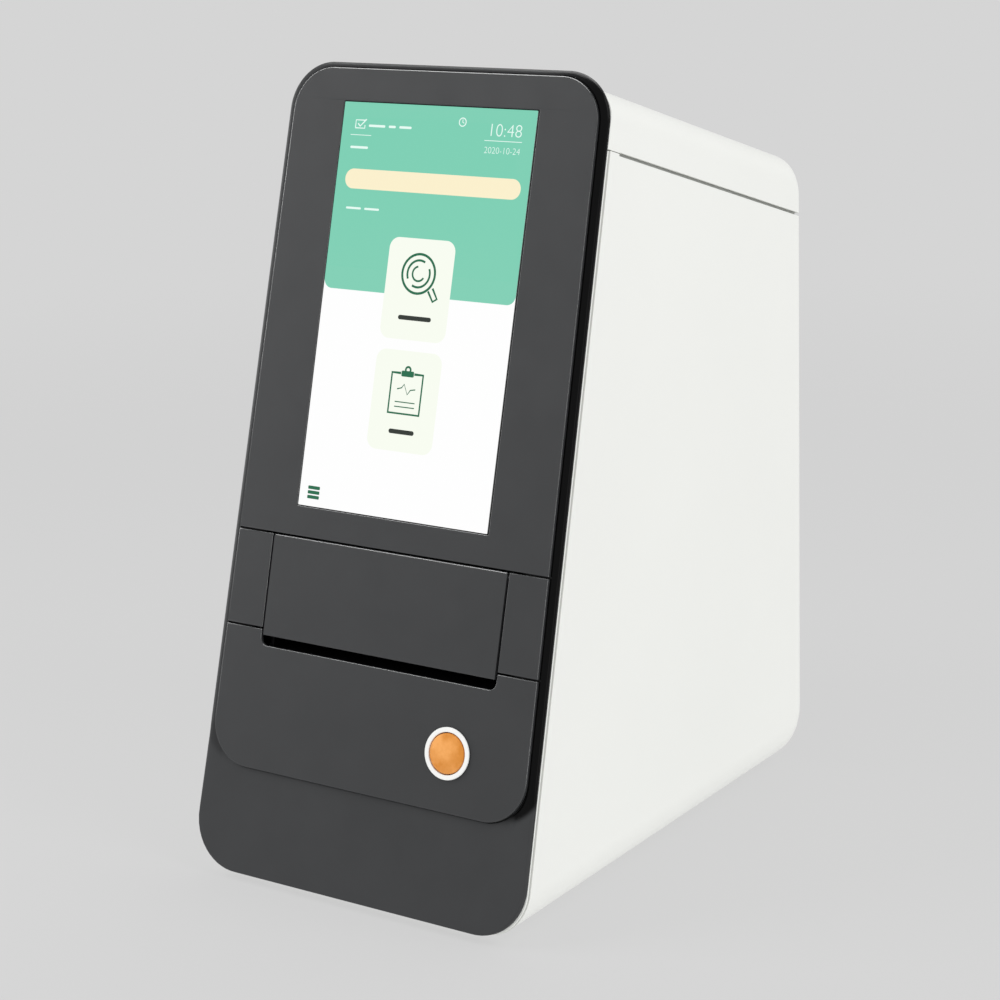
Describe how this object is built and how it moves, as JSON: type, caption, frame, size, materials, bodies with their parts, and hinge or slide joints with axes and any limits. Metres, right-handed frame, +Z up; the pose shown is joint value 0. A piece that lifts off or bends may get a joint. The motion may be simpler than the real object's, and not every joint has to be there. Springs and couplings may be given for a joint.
{
  "type": "biochemistry analyzer",
  "caption": "Benchtop biochemistry analyzer: leaning dark front with touch display, flip-up card door and push button, on a tall white case with a sloping top cover.",
  "frame": {"origin": "centre of the bounding box's base, on the surface that the instrument stands on", "axes": "+Z up, the leaning front faces -Y, +X is to the right of someone facing the front"},
  "size_m": [0.1514, 0.2308, 0.3063],
  "materials": {
    "white_plastic": "fine satin moulded white",
    "dark_plastic": "fine matte charcoal",
    "dark_gloss_plastic": "dark, glossy on its rounded edge",
    "display_glass": "lit display under clear glass",
    "black_plastic": "moulded black",
    "white_gloss_plastic": "glossy white",
    "orange_plastic": "satin orange",
    "sheet_steel": "zinc-plated sheet",
    "bright_steel": "ground bright steel",
    "connector_shell": "plated connector shell",
    "motor_steel": "black laminated steel",
    "circuit_board": "green solder mask",
    "grey_plastic": "moulded mid grey",
    "acetal": "waxy off-white",
    "lens_glass": "coated lens",
    "rubber": "matte black rubber"
  },
  "bodies": {
    "case": {"main_housing": "white_plastic", "top_cover": "white_plastic", "front_frame": "white_plastic", "rear_panel": "white_plastic", "display_surround": "dark_plastic", "strip_left": "dark_plastic", "strip_right": "dark_plastic", "lower_plate": "dark_plastic", "front_bezel": "dark_gloss_plastic", "touch_glass": "display_glass", "display_module": "black_plastic", "button_switch": "black_plastic", "bay_liner": "black_plastic", "optics_head": "black_plastic", "fan_frame": "black_plastic", "power_inlet": "black_plastic", "switch_frame": "black_plastic", "button_ring": "white_gloss_plastic", "display_bracket": "sheet_steel", "base_plate": "sheet_steel", "mechanism_chassis": "sheet_steel", "optics_gantry": "sheet_steel", "guide_rod_left": "bright_steel", "guide_rod_right": "bright_steel", "door_hinge_pin": "bright_steel", "rear_screw_1": "bright_steel", "rear_screw_2": "bright_steel", "rear_screw_3": "bright_steel", "rear_screw_4": "bright_steel", "usb_port": "connector_shell", "network_port": "connector_shell", "stepper_motor": "motor_steel", "main_board": "circuit_board", "detector_board": "circuit_board", "power_supply": "circuit_board", "rod_bracket_front": "grey_plastic", "rod_bracket_rear": "grey_plastic", "objective_lens": "lens_glass", "rubber_foot_1": "rubber", "rubber_foot_2": "rubber", "rubber_foot_3": "rubber", "rubber_foot_4": "rubber"},
    "door": {"card_door": "dark_plastic"},
    "button": {"button_cap": "orange_plastic"},
    "carriage": {"card_carriage": "grey_plastic", "drive_rack": "acetal"},
    "pinion": {"drive_pinion": "acetal"},
    "fan": {"fan_rotor": "black_plastic"},
    "rocker": {"power_rocker": "black_plastic"}
  },
  "joints": [
    {"name": "door_hinge", "type": "hinge", "parent": "case", "child": "door", "pos_m": [0, -0.08243, 0.12924], "axis": [-1, 0, 0], "range_deg": [0, 95]},
    {"name": "button_press", "type": "slide", "parent": "case", "child": "button", "axis": [0, 0.9681, -0.2504], "range_m": [0, 0.0018], "stiffness_N_per_m": 600, "springref_m": -0.001},
    {"name": "carriage_slide", "type": "slide", "parent": "case", "child": "carriage", "axis": [0, 1, 0], "range_m": [0, 0.06]},
    {"name": "pinion_spin", "type": "hinge", "parent": "case", "child": "pinion", "pos_m": [0.03875, 0.00602, 0.1], "axis": [0, 0, 1], "range_deg": [-343.8, 0]},
    {"name": "fan_spin", "type": "hinge", "parent": "case", "child": "fan", "pos_m": [0, 0.10382, 0.108], "axis": [0, 1, 0], "continuous": true},
    {"name": "power_switch", "type": "hinge", "parent": "case", "child": "rocker", "pos_m": [-0.014, 0.11132, 0.046], "axis": [-1, 0, 0], "range_deg": [0, 16]}
  ],
  "couplings": [
    {"joint": "pinion_spin", "follows": "carriage_slide", "rad_per_m": -100}
  ]
}
